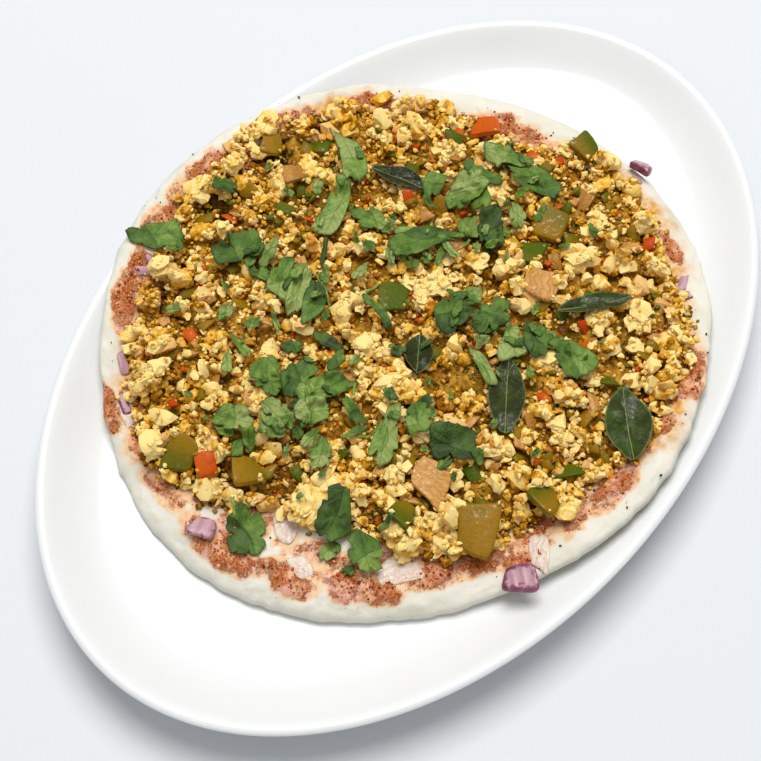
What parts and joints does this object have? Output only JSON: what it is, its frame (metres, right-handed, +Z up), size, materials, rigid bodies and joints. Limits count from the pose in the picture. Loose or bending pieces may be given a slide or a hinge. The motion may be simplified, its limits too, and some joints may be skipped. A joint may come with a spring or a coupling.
{
  "type": "uttapam on a platter",
  "caption": "Round, thick rice and lentil uttapam with a crumbled paneer and vegetable topping and coriander leaves, served on a shallow white oval coupe platter.",
  "frame": {"origin": "middle of the platter's flat foot, on the table", "axes": "+X along the platter's long axis, +Z up, and the bread reaches past the lip at +Y"},
  "size_m": [0.305, 0.2096, 0.0296],
  "materials": {
    "white_glaze": "smooth clear glaze over white stoneware",
    "bread": "soft steamed and griddled batter with chutney smears",
    "paneer": "moist crumbled cheese in masala",
    "coriander": "fresh leaf",
    "curry_leaf": "fried leaf with an oily sheen",
    "capsicum": "cooked skin and flesh, moist",
    "tomato": "cooked, moist",
    "cooked_onion": "translucent, moist",
    "red_onion": "griddled into the bread's edge"
  },
  "bodies": {
    "root": {"capsicum_01": "capsicum", "capsicum_02": "capsicum", "capsicum_03": "capsicum", "capsicum_04": "capsicum", "capsicum_05": "capsicum", "capsicum_06": "capsicum", "capsicum_07": "capsicum", "capsicum_08": "capsicum", "capsicum_09": "capsicum", "capsicum_10": "capsicum", "cooked_onion_1": "cooked_onion", "cooked_onion_2": "cooked_onion", "cooked_onion_3": "cooked_onion", "coriander_01": "coriander", "coriander_02": "coriander", "coriander_03": "coriander", "coriander_04": "coriander", "coriander_05": "coriander", "coriander_06": "coriander", "coriander_07": "coriander", "coriander_08": "coriander", "coriander_09": "coriander", "coriander_10": "coriander", "coriander_11": "coriander", "coriander_12": "coriander", "coriander_13": "coriander", "coriander_14": "coriander", "coriander_15": "coriander", "coriander_16": "coriander", "coriander_17": "coriander", "coriander_18": "coriander", "coriander_19": "coriander", "coriander_20": "coriander", "coriander_21": "coriander", "coriander_22": "coriander", "coriander_23": "coriander", "coriander_24": "coriander", "coriander_25": "coriander", "coriander_26": "coriander", "coriander_27": "coriander", "coriander_28": "coriander", "coriander_29": "coriander", "coriander_30": "coriander", "coriander_31": "coriander", "coriander_32": "coriander", "coriander_33": "coriander", "curry_leaf_1": "curry_leaf", "curry_leaf_2": "curry_leaf", "curry_leaf_3": "curry_leaf", "curry_leaf_4": "curry_leaf", "curry_leaf_5": "curry_leaf", "paneer_bhurji": "paneer", "platter": "white_glaze", "red_onion_1": "red_onion", "red_onion_2": "red_onion", "red_onion_3": "red_onion", "tomato_1": "tomato", "tomato_2": "tomato", "uttapam": "bread"}
  },
  "joints": []
}
